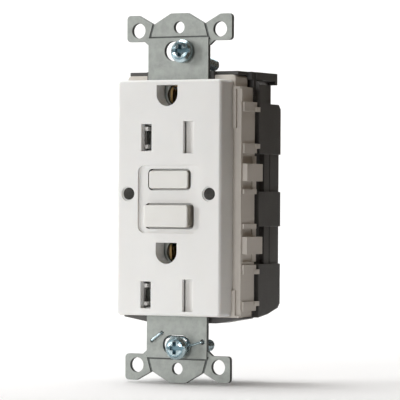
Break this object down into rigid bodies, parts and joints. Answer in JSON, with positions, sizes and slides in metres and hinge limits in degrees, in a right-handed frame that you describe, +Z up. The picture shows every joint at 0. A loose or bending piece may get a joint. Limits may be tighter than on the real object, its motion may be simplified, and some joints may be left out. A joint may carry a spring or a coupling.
{
  "type": "ground-fault receptacle",
  "caption": "Duplex ground-fault receptacle on a metal strap: two outlets with shutters, test and reset keys, trip coil, sensing rings and contacts in a moulded housing.",
  "frame": {"origin": "middle of the two wall-plate screw holes, in the plane of the back of the strap's ears", "axes": "+X right seen from the front, +Y towards the wall, +Z up along the strap"},
  "size_m": [0.0415, 0.0327, 0.1048],
  "materials": {
    "cover": "white satin moulded plastic",
    "button": "off-white moulded plastic",
    "housing_light": "light grey-beige moulded plastic",
    "housing_dark": "charcoal moulded plastic",
    "strap_steel": "zinc plated sheet steel",
    "screw_steel": "bright zinc plated steel",
    "spring_steel": "spring steel wire",
    "fibre": "pressed fibre",
    "brass": "brass strip",
    "contact_metal": "silver alloy contact",
    "wire_black": "black wire insulation",
    "wire_white": "white wire insulation",
    "board": "green circuit laminate",
    "capacitor": "dipped plastic",
    "varistor": "blue dipped coating",
    "chip": "black moulded plastic",
    "lamp": "diffused lamp plastic",
    "resistor": "lacquered body",
    "ferrite": "dark coated core",
    "winding": "enamelled copper wire",
    "moving_plastic": "dark grey moulded plastic",
    "shutter": "grey moulded plastic",
    "lens": "smoked clear plastic"
  },
  "bodies": {
    "frame_body": {"mounting_strap": "strap_steel", "self_grounding_clip": "screw_steel", "screw_retainer": "fibre", "face_cover": "cover", "middle_housing": "housing_light", "rear_housing": "housing_dark", "assembly_screws_upper": "screw_steel", "assembly_screws_lower": "screw_steel", "hot_receptacle_contact": "brass", "neutral_receptacle_contact": "brass", "ground_contact_upper": "brass", "ground_contact_lower": "brass", "ground_link": "brass", "wiring_blades": "brass", "load_strip_hot": "brass", "line_post_hot": "brass", "line_lead_hot": "wire_black", "load_strip_neutral": "brass", "line_post_neutral": "brass", "line_lead_neutral": "wire_white", "fixed_contact_pads": "contact_metal", "circuit_board": "board", "filter_capacitor": "capacitor", "surge_varistor": "varistor", "trip_thyristor": "chip", "control_chip": "chip", "indicator_lamps": "lamp", "resistors": "resistor", "rectifier_diodes": "chip", "current_sensor_case": "moving_plastic", "sensor_cores": "ferrite", "solenoid_bobbin": "moving_plastic", "solenoid_coil": "winding", "solenoid_yoke": "screw_steel", "plunger_spring": "spring_steel", "test_return_spring": "spring_steel", "test_contact_spring": "brass", "reset_return_spring": "spring_steel", "indicator_lens_left": "lens", "indicator_lens_right": "lens", "shutter_tray_upper": "shutter", "shutter_spring_upper": "spring_steel", "shutter_tray_lower": "shutter", "shutter_spring_lower": "spring_steel"},
    "test_key": {"test_button": "button"},
    "reset_key": {"reset_button": "button", "reset_pin": "screw_steel"},
    "carriage": {"contact_carriage": "moving_plastic", "contact_bridge_hot": "brass", "contact_bridge_neutral": "brass", "moving_contact_pads": "contact_metal"},
    "latch": {"latch_plate": "screw_steel"},
    "plunger": {"solenoid_plunger": "screw_steel"},
    "upper_shutter": {"shutter_upper": "shutter"},
    "lower_shutter": {"shutter_lower": "shutter"},
    "upper_screw": {"mounting_screw_upper": "screw_steel"},
    "lower_screw": {"mounting_screw_lower": "screw_steel"}
  },
  "joints": [
    {"name": "test_slide", "type": "slide", "parent": "frame_body", "child": "test_key", "axis": [0, 1, 0], "range_m": [0, 0.0013], "stiffness_N_per_m": 900, "springref_m": -0.002, "deforming": ["test_return_spring", "test_contact_spring"]},
    {"name": "reset_slide", "type": "slide", "parent": "frame_body", "child": "reset_key", "axis": [0, 1, 0], "range_m": [0, 0.003], "stiffness_N_per_m": 700, "springref_m": -0.003, "deforming": ["reset_return_spring"]},
    {"name": "carriage_slide", "type": "slide", "parent": "frame_body", "child": "carriage", "axis": [0, -1, 0], "range_m": [0, 0.0012], "stiffness_N_per_m": 500, "springref_m": -0.002},
    {"name": "plunger_slide", "type": "slide", "parent": "frame_body", "child": "plunger", "axis": [0, 0, 1], "range_m": [0, 0.0013], "stiffness_N_per_m": 300, "springref_m": -0.002, "deforming": ["plunger_spring"]},
    {"name": "latch_slide", "type": "slide", "parent": "carriage", "child": "latch", "axis": [0, 0, 1], "range_m": [0, 0.0013]},
    {"name": "upper_shutter_slide", "type": "slide", "parent": "frame_body", "child": "upper_shutter", "axis": [1, 0, 0], "range_m": [0, 0.0027], "stiffness_N_per_m": 120, "springref_m": -0.003, "deforming": ["shutter_spring_upper"]},
    {"name": "lower_shutter_slide", "type": "slide", "parent": "frame_body", "child": "lower_shutter", "axis": [1, 0, 0], "range_m": [0, 0.0027], "stiffness_N_per_m": 120, "springref_m": -0.003, "deforming": ["shutter_spring_lower"]},
    {"name": "upper_screw_turn", "type": "hinge", "parent": "frame_body", "child": "upper_screw", "pos_m": [0.00195, -0.0025, 0.0413], "axis": [0, -0.9877, 0.1564], "continuous": true},
    {"name": "lower_screw_turn", "type": "hinge", "parent": "frame_body", "child": "lower_screw", "pos_m": [0.0014, -0.0036, -0.0424], "axis": [0, -1, 0], "continuous": true}
  ],
  "couplings": [
    {"joint": "latch_slide", "follows": "plunger_slide", "ratio": 1}
  ]
}
